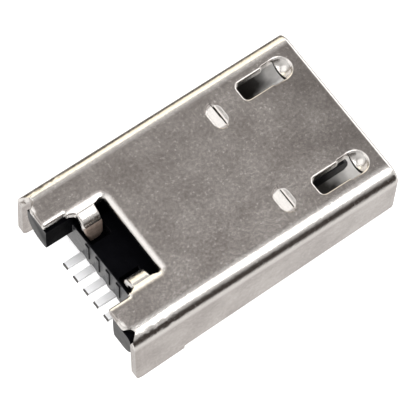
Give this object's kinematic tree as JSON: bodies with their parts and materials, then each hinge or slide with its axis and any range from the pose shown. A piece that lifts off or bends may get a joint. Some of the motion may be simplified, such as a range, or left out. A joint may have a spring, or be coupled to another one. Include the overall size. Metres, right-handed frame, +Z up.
{
  "type": "dc power jack",
  "caption": "Long-bodied charging jack for a circuit board: folded metal shell with a tapered mouth, black insulator tongue and flat solder tails under a rear notch.",
  "frame": {"origin": "middle of the shell's length and width, on the plane of its underside", "axes": "+Z up through the flat top, -Y out of the mouth, +Y towards the solder tails"},
  "size_m": [0.0076, 0.012, 0.0031],
  "materials": {
    "plated_steel": "satin nickel plate with a fine mottled grain",
    "black_insulator": "moulded glass-filled plastic, semi-matt",
    "tinned_contact": "bright tin plate"
  },
  "bodies": {
    "root": {"shell": "plated_steel", "housing": "black_insulator", "contact_supply": "tinned_contact", "contact_data_minus": "tinned_contact", "contact_data_plus": "tinned_contact", "contact_sense": "tinned_contact", "contact_ground": "tinned_contact"}
  },
  "joints": []
}
